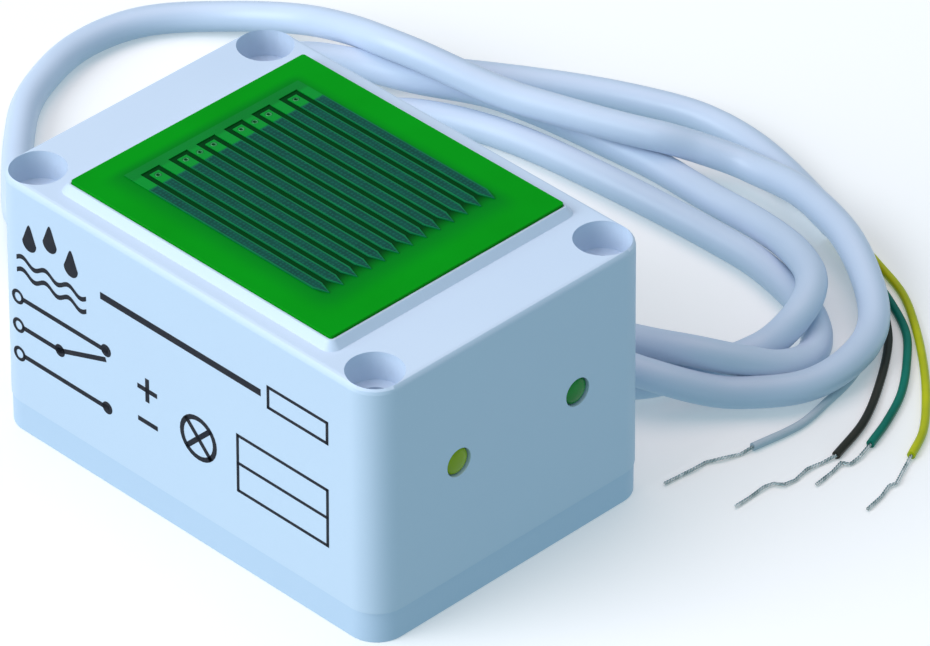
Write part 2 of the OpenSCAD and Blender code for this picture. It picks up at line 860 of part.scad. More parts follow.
// Bobbin that the coil is wound on
module relay_bobbin() color([0.9, 0.88, 0.8]) {
    low = relay_base_h + yoke_t;
    at_relay()
        translate([core_x, 0, 0])
            difference() {
                union() {
                    post(bobbin_d, low, low + bobbin_flange);
                    post(bobbin_d, bobbin_top - bobbin_flange, bobbin_top);
                    post(bobbin_tube_d, low, bobbin_top);
                }
                post(bobbin_bore_d, low - cut, bobbin_top + cut);
            }
}

// Winding of copper wire, as one ring
module relay_coil() color([0.72, 0.4, 0.2]) {
    low = relay_base_h + yoke_t + bobbin_flange + coil_gap;
    high = bobbin_top - bobbin_flange - coil_gap;
    at_relay()
        translate([core_x, 0, 0])
            difference() {
                post(coil_d, low, high);
                post(bobbin_tube_d + 2 * coil_gap, low - cut, high + cut);
            }
}

// Iron core with its pole face
module relay_core() color([0.6, 0.6, 0.62]) {
    at_relay()
        translate([core_x, 0, 0]) {
            post(core_d, relay_base_h + yoke_t, pole_top);
            post(pole_d, pole_top - pole_t, pole_top);
        }
}

// Iron yoke: a foot under the coil and a leg behind it
module relay_yoke() color([0.62, 0.62, 0.64]) {
    at_relay()
        translate([yoke_x, 0, relay_base_h])
            rotate([90, 0, 0])
                linear_extrude(yoke_w, center = true)
                    polygon([[0, 0], [yoke_foot_len, 0], [yoke_foot_len, yoke_t], [yoke_t, yoke_t],
                        [yoke_t, yoke_top - relay_base_h], [0, yoke_top - relay_base_h]]);
}

// Hinged iron plate over the core
module relay_armature() color([0.66, 0.66, 0.68]) {
    at_relay()
        translate([yoke_x - armature_back, -armature_w / 2, armature_z])
            cube([armature_len, armature_w, armature_t]);
}

// Springy contact arm on the armature, with its button and two rivets
module relay_contact_arm() color([0.8, 0.55, 0.3]) {
    top = armature_z + armature_t;
    at_relay() {
        translate([arm_tip_x - arm_len, -arm_w / 2, top])
            cube([arm_len, arm_w, arm_t]);
        translate([button_x, 0, 0])
            post(button_d, top - button_t, top + arm_t + button_t);
        for (s = [-1, 1])
            translate([core_x, s * arm_w / 4, 0])
                post(rivet_d, top + arm_t, top + arm_t + rivet_t);
    }
}

// One fixed contact: terminal post, strip and button
module fixed_contact(side, low, button_low, button_high) {
    translate([fixed_post_x, side < 0 ? -fixed_post_y - fixed_post_w : fixed_post_y, relay_base_h])
        cube([fixed_post_t, fixed_post_w, low + fixed_t - relay_base_h]);
    translate([button_x - button_d / 2, side < 0 ? -fixed_post_y - fixed_post_w : -button_d / 2, low])
        cube([fixed_post_x + fixed_post_t - button_x + button_d / 2,
            fixed_post_y + fixed_post_w + button_d / 2, fixed_t]);
    translate([button_x, 0, 0])
        post(button_d, button_low, button_high);
}

// Fixed contacts above and below the moving button
module relay_contacts() color([0.82, 0.6, 0.35]) {
    button_top = armature_z + armature_t + arm_t + button_t;
    rest_low = button_top + nc_gap + nc_button_t;
    at_relay() {
        fixed_contact(1, rest_low, button_top + nc_gap, rest_low);
        fixed_contact(-1, no_contact_z, no_contact_z + fixed_t, no_contact_z + fixed_t + fixed_button_t);
    }
}

// Pins of the relay, through the main board
module relay_pins() color([0.8, 0.8, 0.82]) {
    at_relay_pins()
        post(relay_pin_d, board_under_z - relay_pin_below, board_z);
}

// Comparator chip's body
module comparator_chip() color([0.1, 0.1, 0.11]) {
    translate(on_board(chip_shares) + [0, 0, board_z + chip_lift + chip_size[2] / 2])
        cube(chip_size, center = true);
}

// Legs of the chip, four on each side
module chip_legs() color([0.78, 0.78, 0.8]) {
    for (s = [0, 180])
        for (k = [0:leg_count - 1])
            translate(on_board(chip_shares) + [0, 0, board_z])
                rotate([0, 0, s])
                    translate([(k - (leg_count - 1) / 2) * pin_pitch, chip_size[1] / 2, 0])
                        chip_leg();
}

// One bent leg, seen from its end
module chip_leg() {
    top = chip_lift + chip_size[2] / 2;
    rotate([90, 0, 90])
        linear_extrude(leg_w, center = true)
            polygon([[0, top], [leg_out, top], [leg_out, 0], [leg_out - leg_t, 0],
                [leg_out - leg_t, top - leg_t], [0, top - leg_t]]);
}

// Small round body with one flat side, on three legs
module to92() {
    translate([0, 0, board_z + to92_lift])
        linear_extrude(to92_h)
            difference() {
                circle(d = to92_d);
                translate([-to92_d / 2 - cut, -to92_d / 2 - to92_flat])
                    square([to92_d + 2 * cut, to92_d / 2]);
            }
}

// Voltage regulator
module regulator() color([0.12, 0.12, 0.12]) {
    translate(on_board(regulator_shares))
        to92();
}

// Transistor that switches the relay's coil
module transistor() color([0.12, 0.12, 0.12]) {
    translate(on_board(transistor_shares))
        to92();
}

// Body of a part that lies along X, between its two bent leads
module axial_body(place, d, l) {
    translate(place + [0, 0, board_z + axial_lift])
        rod_x(d, -l / 2, l / 2);
}

// Its two bent leads
module axial_leads(place, l) {
    for (s = [-1, 1])
        translate(place + [0, 0, board_z + axial_lift]) {
            translate([s > 0 ? l / 2 : -l / 2 - axial_out, 0, 0])
                rod_x(part_lead_d, 0, axial_out);
            translate([s * (l / 2 + axial_out), 0, 0])
                sphere(d = part_lead_d);
            translate([s * (l / 2 + axial_out), 0, 0])
                post(part_lead_d, -axial_lift, 0);
        }
}

// Diode across the relay's coil
module diode() color([0.1, 0.1, 0.1]) {
    axial_body(on_board(diode_shares), diode_d, diode_len);
}

// Row of resistors
module resistors() color([0.75, 0.62, 0.42]) {
    for (k = [0:resistor_count - 1])
        axial_body(on_board(resistor_shares) + [0, k * resistor_pitch, 0], axial_d, axial_len);
}

// Two upright capacitors
module capacitors() color([0.12, 0.14, 0.3]) {
    translate(on_board(cap_big_shares))
        post(cap_big_d, board_z + cap_lift, board_z + cap_lift + cap_big_h);
    translate(on_board(cap_small_shares))
        post(cap_small_d, board_z + cap_lift, board_z + cap_lift + cap_small_h);
}

// Leads of the round, upright and lying parts
module component_leads() color([0.78, 0.78, 0.8]) {
    for (p = [regulator_shares, transistor_shares])
        for (k = [-1:1])
            translate(on_board(p) + [k * to92_leg_pitch, 0, 0])
                post(to92_leg_d, board_z, board_z + to92_lift);
    for (p = [cap_big_shares, cap_small_shares])
        for (s = [-1, 1])
            translate(on_board(p) + [0, s * cap_lead_gap / 2, 0])
                post(part_lead_d, board_z, board_z + cap_lift);
    axial_leads(on_board(diode_shares), diode_len);
    for (k = [0:resistor_count - 1])
        axial_leads(on_board(resistor_shares) + [0, k * resistor_pitch, 0], axial_len);
}

// Grommet in the wall, with a nose that the cable leaves by
module cable_grommet() color([0.85, 0.88, 0.92]) {
    wall_x = -case_len / 2;
    inside_x = -inner_len / 2;
    translate([0, 0, cable_z])
        difference() {
            union() {
                rod_x(grommet_flange_d, wall_x - grommet_flange_t, wall_x);
                rod_x(grommet_neck_d, wall_x, inside_x);
                rod_x(grommet_inner_d, inside_x, inside_x + grommet_flange_t);
                translate([cable_start_x, 0, 0])
                    rotate([0, 90, 0])
                        cylinder(d1 = grommet_nose_tip_d, d2 = grommet_nose_d, h = grommet_nose_len);
            }
            rod_x(cable_d + 2 * grommet_bore_gap, cable_start_x - cut, inside_x + grommet_flange_t + cut);
        }
}

// Tie round the cable, against the grommet, so that it can't be pulled out
module cable_tie() color([0.92, 0.92, 0.9]) {
    from_x = -inner_len / 2 + grommet_flange_t;
    out_d = cable_d + 2 * tie_gap + 2 * tie_t;
    translate([0, 0, cable_z])
        difference() {
            union() {
                rod_x(out_d, from_x, from_x + tie_w);
                translate([from_x, 0, -tie_head / 2])
                    cube([tie_w, out_d / 2 + tie_head, tie_head]);
            }
            rod_x(cable_d + 2 * tie_gap, from_x - cut, from_x + tie_w + cut);
        }
}

// End of the cable inside the grommet and the case
module cable_inner_end() color([0.9, 0.93, 0.97]) {
    translate([0, 0, cable_z])
        rod_x(cable_d, cable_start_x, cable_end_x);
}

// One lead from the cable's inner end up to the main board
module inner_lead(k) {
    y = [-1, -1, 1, 1][k] * lead_spread;
    z = cable_z + [-1, 1, 1, -1][k] * lead_spread;
    end = [lead_in - board_len / 2, (k - (lead_count - 1) / 2) * lead_pitch];
    tube([[cable_end_x, y, z], [cable_end_x + lead_rise, (2 * y + end[1]) / 3, z],
        [end[0] - lead_rise / 2, end[1], (z + board_under_z) / 2 - lead_rise / 2],
        [end[0], end[1], board_under_z - lead_rise], [end[0], end[1], board_under_z]],
        wire_d, wire_sides, [1, 0, 0], [0, 0, 1], [0, 1, 0]);
}

// Four leads inside the case
module inner_lead_yellow() color([0.9, 0.8, 0.1]) {
    inner_lead(0);
}

module inner_lead_green() color([0.1, 0.6, 0.3]) {
    inner_lead(1);
}

module inner_lead_brown() color([0.3, 0.2, 0.15]) {
    inner_lead(2);
}

module inner_lead_white() color([0.92, 0.92, 0.92]) {
    inner_lead(3);
}

// White cable from the grommet's nose, in loose turns on the table
module cable_jacket() color([0.92, 0.95, 1]) {
    start = [cable_start_x, 0, cable_z];
    tube(concat([start, start - [cable_d / 2, 0, 0]], cable_route), cable_d, cable_sides, [-1, 0, 0]);
}

// Four insulated wires beyond the jacket
module wire_yellow() color([0.9, 0.8, 0.1]) {
    tube(yellow_route, wire_d, wire_sides, heading(cable_route));
}

module wire_green() color([0.1, 0.6, 0.3]) {
    tube(green_route, wire_d, wire_sides, heading(cable_route));
}

module wire_brown() color([0.3, 0.2, 0.15]) {
    tube(brown_route, wire_d, wire_sides, heading(cable_route));
}

module wire_white() color([0.92, 0.92, 0.92]) {
    tube(white_route, wire_d, wire_sides, heading(cable_route));
}

// Tinned strands at the wires' ends
module bare_ends() color([0.8, 0.8, 0.82]) {
    tube(yellow_bare, bare_d, wire_sides, heading(yellow_route));
    tube(green_bare, bare_d, wire_sides, heading(green_route));
    tube(brown_bare, bare_d, wire_sides, heading(brown_route));
    tube(white_bare, bare_d, wire_sides, heading(white_route));
}

housing();
base_plate();
case_seal();
base_screws();
sensor_board();
sensor_strips();
sensor_tracks();
sensor_vias();
board_adhesive();
heater_resistors();
contact_pins();
contact_strip();
main_board();
board_screws();
led_yellow();
led_green();
led_leads();
relay_base();
relay_cover();
relay_bobbin();
relay_coil();
relay_core();
relay_yoke();
relay_armature();
relay_contact_arm();
relay_contacts();
relay_pins();
comparator_chip();
chip_legs();
regulator();
transistor();
diode();
capacitors();
resistors();
component_leads();
cable_grommet();
cable_tie();
cable_inner_end();
inner_lead_yellow();
inner_lead_green();
inner_lead_brown();
inner_lead_white();
cable_jacket();
wire_yellow();
wire_green();
wire_brown();
wire_white();
bare_ends();
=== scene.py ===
import math

import bmesh
import bpy
from mathutils import Matrix, Vector


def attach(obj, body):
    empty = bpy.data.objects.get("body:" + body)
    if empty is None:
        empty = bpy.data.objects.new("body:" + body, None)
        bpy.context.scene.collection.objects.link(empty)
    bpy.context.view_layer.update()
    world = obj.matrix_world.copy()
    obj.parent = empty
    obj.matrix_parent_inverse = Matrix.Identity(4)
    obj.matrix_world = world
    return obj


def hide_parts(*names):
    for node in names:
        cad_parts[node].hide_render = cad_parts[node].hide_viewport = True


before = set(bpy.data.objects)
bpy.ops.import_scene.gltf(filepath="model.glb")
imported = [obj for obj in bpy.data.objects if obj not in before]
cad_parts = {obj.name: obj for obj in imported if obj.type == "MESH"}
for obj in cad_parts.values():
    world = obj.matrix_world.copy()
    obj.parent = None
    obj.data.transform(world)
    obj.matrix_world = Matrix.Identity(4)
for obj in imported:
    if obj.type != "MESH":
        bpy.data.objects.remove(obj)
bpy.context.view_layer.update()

# The camera stands far off to the front right of the case and looks down on its corner,
# so that the printed side, the side with the two lights and the green board all show.
MM = 0.001
view_from = Vector((628.3, -596.2, 644.5)) * MM
view_to = Vector((26.877, 0, 34.598)) * MM
sensor_mm = 36
picture_px = 930
focal_px = 8170
camera_data = bpy.data.cameras.new("camera")
camera_data.sensor_width = sensor_mm
camera_data.lens = sensor_mm * focal_px / picture_px
camera_data.clip_start = 0.05
camera_data.clip_end = 20
camera = bpy.data.objects.new("camera", camera_data)
camera.location = view_from
camera.rotation_euler = (view_to - view_from).to_track_quat("-Z", "Y").to_euler()
bpy.context.scene.collection.objects.link(camera)
bpy.context.scene.camera = camera

# The cable: a round four-core signal cable with a smooth white PVC jacket. It leaves the case
# by its grommet, lies on the table in three and a half loose turns behind the case, and ends
# in a plain cut from which the four wires come out.
cable_d = 4.4 * MM
cable_route_mm = [
    (-43, 0, 12), (-45.2, 0, 12), (-51, 0, 10.8), (-60, 2, 6.4), (-68, 7.5, 2.8), (-83, 22, 2.2),
    (-88, 30, 2.2), (-90.9, 40.5, 2.2), (-89, 51, 2.2), (-81.5, 59.5, 2.6), (-71.5, 64, 4.8),
    (-61.5, 64.5, 7.6), (-51, 64.5, 9.4), (-31.5, 70.5, 6.8), (-13.5, 77, 6.8), (-8, 81, 5.2),
    (-2, 83.5, 4.2), (9.1, 82.4, 5.8), (19.6, 79.4, 6), (29.3, 74.2, 4.8), (35.5, 68.5, 3.8),
    (38.5, 61, 3.6), (38, 53, 3.2), (33, 46, 3), (24, 37, 6), (12, 34, 6.8), (-8, 33.5, 3.6),
    (-28, 34.5, 2.2), (-44, 40, 2.2), (-51.5, 50, 2.2), (-48, 59.5, 2.2), (-38, 65.5, 2.2),
    (-23.5, 68.5, 2.2), (9.5, 70, 2.2), (21, 68, 2.2), (28, 65, 2.2), (32.5, 60, 2.2),
    (33, 53.5, 3.6), (30, 48, 5.8), (25.5, 44, 7), (18.5, 42, 5.9), (3, 40, 2.8), (-16, 40, 2.2),
    (-34, 41, 4.2), (-45, 41.5, 6.8), (-54, 43, 6.9), (-61, 48, 6.9), (-63, 55, 6.4),
    (-58, 61, 5.3), (-49.5, 65.5, 4.6), (-39, 72.5, 3.2), (-16, 76.5, 2.2), (-2, 76, 2.6),
    (10, 74.5, 4), (19.5, 71, 6), (26, 66.5, 7), (29, 60.5, 6.2), (28, 54.5, 3.4),
    (23.5, 43.5, 2.2), (20, 37.5, 2.2), (6, 29.5, 2.2), (-14, 28, 2.2), (-36, 29, 2.2),
    (-55, 33, 2.2), (-66.5, 41, 2.2), (-70, 50, 2.2), (-67, 58.5, 2.2), (-60, 64, 2.2),
    (-53.5, 69.5, 2.2), (-37, 80.5, 2.2), (-25.5, 86.5, 2.2), (-15.5, 89.7, 2.2), (-4, 89.2, 2.2),
    (14.2, 84, 2.2)]


def linked(piece):
    bpy.context.scene.collection.objects.link(piece)
    return piece


def tangents(points):
    """Direction of the line at each point; it is level at every low point, so it never dips."""
    found = []
    for i, here in enumerate(points):
        before = points[max(i - 1, 0)]
        after = points[min(i + 1, len(points) - 1)]
        along = after - before
        if (here.z - before.z) * (after.z - here.z) <= 0:
            along.z = 0
        found.append(along.normalized())
    return found


def laid_line(name, route_mm, diameter, roundness):
    """A round line on one smooth curve through its route; no stretch leaves its ends' heights."""
    points = [Vector(p) * MM for p in route_mm]
    curve = bpy.data.curves.new(name, "CURVE")
    curve.dimensions = "3D"
    curve.bevel_depth = diameter / 2
    curve.bevel_resolution = roundness
    curve.resolution_u = 10
    curve.use_fill_caps = True
    spline = curve.splines.new("BEZIER")
    spline.bezier_points.add(len(points) - 1)
    for i, (knot, here, along) in enumerate(zip(spline.bezier_points, points, tangents(points))):
        knot.handle_left_type = knot.handle_right_type = "FREE"
        knot.co = here
        before = points[max(i - 1, 0)]
        after = points[min(i + 1, len(points) - 1)]
        for side, other, sign in (("left", before, -1), ("right", after, 1)):
            handle = here + along * sign * (other - here).length / 3
            lower, upper = sorted((here.z, other.z))
            handle.z = min(max(handle.z, lower), upper)
            setattr(knot, f"handle_{side}", handle)
    return linked(bpy.data.objects.new(name, curve))


def placed(tree, kind, inputs=(), **settings):
    """A shader node with its settings and its inputs, each a plain value or another node's output."""
    made = tree.nodes.new(kind)
    for key, value in settings.items():
        setattr(made, key, value)
    for key, value in dict(inputs).items():
        if isinstance(value, bpy.types.NodeSocket):
            tree.links.new(value, made.inputs[key])
        else:
            made.inputs[key].default_value = value
    return made


def grain_group():
    """Fine unevenness of a moulded or drawn surface: a slow change of tone and a fine texture."""
    group = bpy.data.node_groups.new("fine_grain", "ShaderNodeTree")
    for name, value in (("Grain Scale", 900.0), ("Cloud Scale", 60.0)):
        made = group.interface.new_socket(name=name, in_out="INPUT", socket_type="NodeSocketFloat")
        made.default_value = value
    for name in ("Height", "Tone"):
        group.interface.new_socket(name=name, in_out="OUTPUT", socket_type="NodeSocketFloat")
    given = placed(group, "NodeGroupInput")
    place = placed(group, "ShaderNodeTexCoord").outputs["Object"]
    put = placed(group, "NodeGroupOutput")
    for scale, result, detail in (("Grain Scale", "Height", 4.0), ("Cloud Scale", "Tone", 3.0)):
        noise = placed(group, "ShaderNodeTexNoise",
                       {"Vector": place, "Scale": given.outputs[scale], "Detail": detail})
        group.links.new(noise.outputs["Fac"], put.inputs[result])
    return group


fine_grain = grain_group()


def coated(name, light, dark, smooth, rough, grain, cloud, bump_mm, metal=0.0, shine=0.5):
    """A finish between a light and a dark tone, with its gloss and its texture changing over it."""
    material = bpy.data.materials.new(name)
    material.use_nodes = True
    tree = material.node_tree
    shader = tree.nodes["Principled BSDF"]
    shader.inputs["Metallic"].default_value = metal
    shader.inputs["Specular IOR Level"].default_value = shine
    surface = placed(tree, "ShaderNodeGroup", node_tree=fine_grain)
    surface.inputs["Grain Scale"].default_value = grain
    surface.inputs["Cloud Scale"].default_value = cloud
    tone = placed(tree, "ShaderNodeMapRange",
                  {"Value": surface.outputs["Tone"], "From Min": 0.3, "From Max": 0.7})
    colour = placed(tree, "ShaderNodeMix", {"Factor": tone.outputs["Result"]}, data_type="RGBA")
    colour.inputs["A"].default_value = (*dark, 1)
    colour.inputs["B"].default_value = (*light, 1)
    gloss = placed(tree, "ShaderNodeMapRange",
                   {"Value": tone.outputs["Result"], "To Min": smooth, "To Max": rough})
    texture = placed(tree, "ShaderNodeBump",
                     {"Height": surface.outputs["Height"], "Strength": 0.5, "Distance": bump_mm * MM})
    tree.links.new(colour.outputs["Result"], shader.inputs["Base Color"])
    tree.links.new(gloss.outputs["Result"], shader.inputs["Roughness"])
    tree.links.new(texture.outputs["Normal"], shader.inputs["Normal"])
    return material


jacket_white = coated(
    "jacket_white", (0.70, 0.75, 0.87), (0.63, 0.68, 0.80), 0.32, 0.44, 600, 40, 0.02)
cable_jacket = laid_line("cable_jacket", cable_route_mm, cable_d, 8)
cable_jacket.data.materials.append(jacket_white)
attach(cable_jacket, "case")
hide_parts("cable_jacket")

# The four wires: stranded copper in thin coloured PVC. They fan out of the jacket's cut end and
# lie on the table; each is stripped at its tip, where its tinned strands are twisted together
# and a little kinked.
wire_d = 1.2 * MM
bundle_d = 0.54 * MM
strand_r = bundle_d / 4.8
strand_count = 4
twist_pitch = 2 * MM
bare_step = 0.2 * MM
wire_routes_mm = {
    "yellow": [
        (14.4, 84.7, 1.5), (18.8, 84.2, 0.8), (24, 82.6, 0.6), (30.5, 80, 0.6), (37, 75.5, 0.6),
        (43.5, 70, 0.6), (49, 64.5, 0.6), (53.5, 59, 0.6), (56, 54, 0.6)],
    "green": [
        (14, 83.3, 1.5), (18.6, 82.2, 0.8), (24.3, 80.2, 0.6), (30.5, 77.5, 0.6), (36.5, 74, 0.6),
        (40.5, 70, 0.6), (45.5, 63.5, 0.6), (48.5, 57.5, 0.6), (50.5, 52, 0.6)],
    "brown": [
        (14.4, 84.7, 2.9), (18.2, 83.3, 2.6), (22.4, 81.3, 2.2), (27.7, 78, 1.8), (32.1, 74.6, 1.1),
        (36.5, 70.6, 0.6), (42, 63, 0.6), (46.5, 55, 0.6), (49, 47, 0.6)],
    "white": [
        (14, 83.3, 2.9), (16.6, 82.2, 2.6), (20.6, 80, 1.3), (25, 77.2, 0.6), (29, 74.2, 0.6),
        (33, 70.6, 0.6), (36.5, 66, 0.6), (38.8, 60.5, 0.6), (40, 55, 0.6), (41, 48.5, 0.6),
        (40, 40.5, 0.6)]}
bare_routes_mm = {
    "yellow": [
        (56, 54, 0.6), (57.5, 50.6, 0.4), (58.7, 48.2, 0.5), (58.3, 47.2, 0.4), (59.1, 44.9, 0.3),
        (59.8, 41.3, 0.4)],
    "green": [
        (50.5, 52, 0.6), (51.4, 48.8, 0.5), (51.4, 47.1, 0.3), (50.5, 46.4, 0.5), (50.9, 44.3, 0.3),
        (51.4, 40.6, 0.4)],
    "brown": [
        (49, 47, 0.6), (48.6, 44.7, 0.3), (48.3, 42.2, 0.5), (48.7, 39.5, 0.3), (48.5, 37.5, 0.5),
        (47.3, 36.8, 0.4), (47, 35.3, 0.5), (47.1, 32.7, 0.3), (47.2, 29.5, 0.4)],
    "white": [
        (40, 40.5, 0.6), (39.7, 38.4, 0.3), (38.8, 35.9, 0.5), (37.7, 33.9, 0.3), (37.8, 31.9, 0.5),
        (37.4, 29.4, 0.3), (37.2, 26.6, 0.4)]}
wire_tones = {
    "yellow": ((0.62, 0.60, 0.003), (0.48, 0.48, 0.003)),
    "green": ((0.0, 0.20, 0.13), (0.0, 0.14, 0.095)),
    "brown": ((0.038, 0.030, 0.018), (0.024, 0.020, 0.012)),
    "white": ((0.62, 0.66, 0.70), (0.54, 0.58, 0.62))}
wire_finish = {
    name: coated(f"wire_{name}", light, dark, 0.3, 0.45, 900, 150, 0.015, shine=0.25)
    for name, (light, dark) in wire_tones.items()}
bare_tin = coated(
    "bare_tin", (0.82, 0.84, 0.82), (0.22, 0.30, 0.30), 0.15, 0.30, 2500, 700, 0.02, metal=1.0)
# A near-black copy of the bare tin for every second strand: painted shade, so that the twist reads as
# bright and shaded strands.
bare_painted_shade = coated(
    "bare_painted_shade", (0.05, 0.09, 0.09), (0.02, 0.04, 0.04), 0.25, 0.40, 2500, 700, 0.02, metal=1.0)


def between(points, distance):
    """Places every so often along a straight-sided line, with the line's direction there."""
    places = []
    carried = 0
    for start, end in zip(points, points[1:]):
        span = (end - start).length
        along = (end - start) / span
        while carried < span:
            places.append((start + along * carried, along))
            carried += distance
        carried -= span
    return places


def twisted_strands(name, route_mm):
    """Strands wound round a core along the bare end of a wire; every second one is darker, a painted
    shade.
    """
    curve = bpy.data.curves.new(name, "CURVE")
    curve.dimensions = "3D"
    curve.bevel_depth = strand_r
    curve.bevel_resolution = 1
    curve.use_fill_caps = True
    places = between([Vector(p) * MM for p in route_mm], bare_step)
    for strand in range(strand_count + 1):
        spline = curve.splines.new("POLY")
        spline.points.add(len(places) - 1)
        # Every second strand takes the dark copy of the tin, a painted shade between the twists.
        spline.material_index = strand % 2
        for k, (knot, (here, along)) in enumerate(zip(spline.points, places)):
            across = along.cross(Vector((0, 0, 1))).normalized()
            rise = across.cross(along)
            turn = math.tau * (strand / strand_count + k * bare_step / twist_pitch)
            out = 0 if strand == strand_count else bundle_d / 2 - strand_r
            knot.co = (*(here + out * (math.cos(turn) * across + math.sin(turn) * rise)), 1)
    return linked(bpy.data.objects.new(name, curve))


for name, route_mm in wire_routes_mm.items():
    wire = laid_line(f"wire_{name}", route_mm, wire_d, 4)
    wire.data.materials.append(wire_finish[name])
    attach(wire, "case")
    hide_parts(f"wire_{name}")
    strands = twisted_strands(f"bare_strands_{name}", bare_routes_mm[name])
    strands.data.materials.append(bare_tin)
    strands.data.materials.append(bare_painted_shade)
    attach(strands, "case")
    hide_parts("bare_ends")

# The base plate: the white bottom of the case, moulded from the same plastic as the housing and
# screwed on from below. From outside it is the band under the fine line round the case.
plastic_white = coated(
    "plastic_white", (0.70, 0.76, 0.87), (0.67, 0.73, 0.85), 0.42, 0.55, 1800, 25, 0.015)
# The base plate's finish is set a little darker and bluer than the housing's, so that the band under the
# line shows.
plastic_base = coated(
    "plastic_base", (0.63, 0.71, 0.84), (0.59, 0.68, 0.82), 0.42, 0.55, 1800, 25, 0.015)


def dressed(node, material, rounding_mm, body="case", sharp=35):
    """A copy of a solid with its small edges rounded, as the real piece's are."""
    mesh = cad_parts[node].data.copy()
    mesh.name = f"{node}_finished"
    shape = bmesh.new()
    shape.from_mesh(mesh)
    bmesh.ops.remove_doubles(shape, verts=shape.verts, dist=0.001 * MM)
    bmesh.ops.dissolve_limit(
        shape, angle_limit=math.radians(0.5), verts=shape.verts, edges=shape.edges)
    bmesh.ops.recalc_face_normals(shape, faces=shape.faces)
    mesh.clear_geometry()
    shape.to_mesh(mesh)
    shape.free()
    for face in mesh.polygons:
        face.use_smooth = True
    mesh.set_sharp_from_angle(angle=math.radians(sharp))
    mesh.materials.clear()
    mesh.materials.append(material)
    piece = linked(bpy.data.objects.new(f"{node}_finished", mesh))
    edges = piece.modifiers.new("rounded edges", "BEVEL")
    edges.width = rounding_mm * MM
    edges.segments = 3 if rounding_mm > 0.1 else 1
    edges.limit_method = "ANGLE"
    edges.angle_limit = math.radians(sharp)
    edges.use_clamp_overlap = True
    edges.miter_outer = "MITER_ARC"
    even = piece.modifiers.new("even shading", "WEIGHTED_NORMAL")
    even.keep_sharp = True
    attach(piece, body)
    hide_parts(node)
    return piece


dressed("base_plate", plastic_base, 0.35)

# The seal: a thin grey rubber cord pressed into the groove between base plate and housing.
seal_rubber = coated(
    "seal_rubber", (0.11, 0.115, 0.125), (0.07, 0.075, 0.08), 0.6, 0.8, 1500, 200, 0.03)
dressed("case_seal", seal_rubber, 0.1)

# The base screws: four countersunk steel screws, zinc plated, driven from below into the
# housing's bosses.
zinc_steel = coated(
    "zinc_steel", (0.66, 0.68, 0.72), (0.50, 0.52, 0.56), 0.22, 0.42, 3000, 500, 0.01, metal=1.0)
dressed("base_screws", zinc_steel, 0.08)

# The housing: one white moulding with gently leaning sides, rounded upright corners, a raised
# platform for the board and a well at each corner for a fixing screw.
dressed("housing", plastic_white, 0.2)

# The print on the long side: dark ink laid on in one pass, with drops over water, a rule with an
# empty frame, and the symbol of a changeover contact with its three leads and its poles.
ink_dark = coated(
    "ink_dark", (0.008, 0.010, 0.018), (0.004, 0.005, 0.010), 0.45, 0.65, 2500, 400, 0.004, shine=0.2)
ink_proud = 0.02
side_foot_mm = (0, -25, 4.7)
side_top_mm = (0, -24.8, 40)
line_w = 0.75
thin_w = 0.5
print_shape = bmesh.new()


def stroke(start, end, width):
    """A straight stroke between two points of the print."""
    start = Vector((*start, 0))
    end = Vector((*end, 0))
    turn = Matrix.Rotation(math.atan2(end.y - start.y, end.x - start.x), 4, "Z")
    stretch = Matrix.Diagonal(((end - start).length + width, width, 1, 1))
    bmesh.ops.create_grid(print_shape, x_segments=1, y_segments=1, size=0.5,
                          matrix=Matrix.Translation((start + end) / 2) @ turn @ stretch)


def dot(centre, radius):
    """A round dot; its rim's points are given back."""
    place = Matrix.Translation((*centre, 0))
    made = bmesh.ops.create_circle(
        print_shape, cap_ends=True, segments=28, radius=radius, matrix=place)
    return made["verts"]


def ring(centre, radius, width):
    """An open circle."""
    edges = set()
    for r in (radius - width / 2, radius + width / 2):
        made = bmesh.ops.create_circle(
            print_shape, segments=28, radius=r, matrix=Matrix.Translation((*centre, 0)))
        edges.update(edge for vert in made["verts"] for edge in vert.link_edges)
    bmesh.ops.bridge_loops(print_shape, edges=list(edges))


def drop(centre, radius):
    """A falling drop: a disc whose upper half runs to a point."""
    for vert in dot(centre, radius):
        up = (vert.co.y - centre[1]) / radius
        if up > 0:
            vert.co.y += 1.1 * radius * up * up
            vert.co.x = centre[0] + (vert.co.x - centre[0]) * (1 - 0.45 * up)


def ripple(start, length, height, width):
    """A wavy stroke, as water is drawn."""
    made = bmesh.ops.create_grid(print_shape, x_segments=36, y_segments=1, size=0.5)
    for vert in made["verts"]:
        share = vert.co.x + 0.5
        vert.co.x = start[0] + share * length
        vert.co.y = start[1] + vert.co.y * width + height * math.sin(share * 3 * math.tau)


for x, z in ((-28.6, 31.6), (-24.6, 33.4), (-20.6, 31.6)):
    drop((x, z), 1.35)
for z in (28.2, 26.2):
    ripple((-31.2, z), 13.4, 0.5, line_w)
stroke((-14.5, 30.2), (14.5, 30.2), 1.1)
for z in (28.6, 31.8):
    stroke((16.4, z), (27.2, z), thin_w)
for x in (16.4, 27.2):
    stroke((x, 28.6), (x, 31.8), thin_w)
for z, reach in ((21.8, -14.2), (17.2, -23.2), (12.6, -14.2)):
    ring((-31.2, z), 0.9, thin_w)
    stroke((-30.1, z), (reach, z), line_w)
    dot((reach, z), 0.95)
stroke((-23.2, 17.2), (-14.6, 20.2), line_w)
for x, z in ((-6.4, 19.4), (-6.4, 14.2)):
    stroke((x - 1.5, z), (x + 1.5, z), line_w)
stroke((-6.4, 17.9), (-6.4, 20.9), line_w)
ring((3.2, 16.8), 3.1, line_w)
stroke((1.1, 14.7), (5.3, 18.9), line_w)
stroke((5.3, 14.7), (1.1, 18.9), line_w)
for z in (12.4, 16.8, 21.2):
    stroke((10.6, z), (27.2, z), thin_w)
for x in (10.6, 27.2):
    stroke((x, 12.4), (x, 21.2), thin_w)
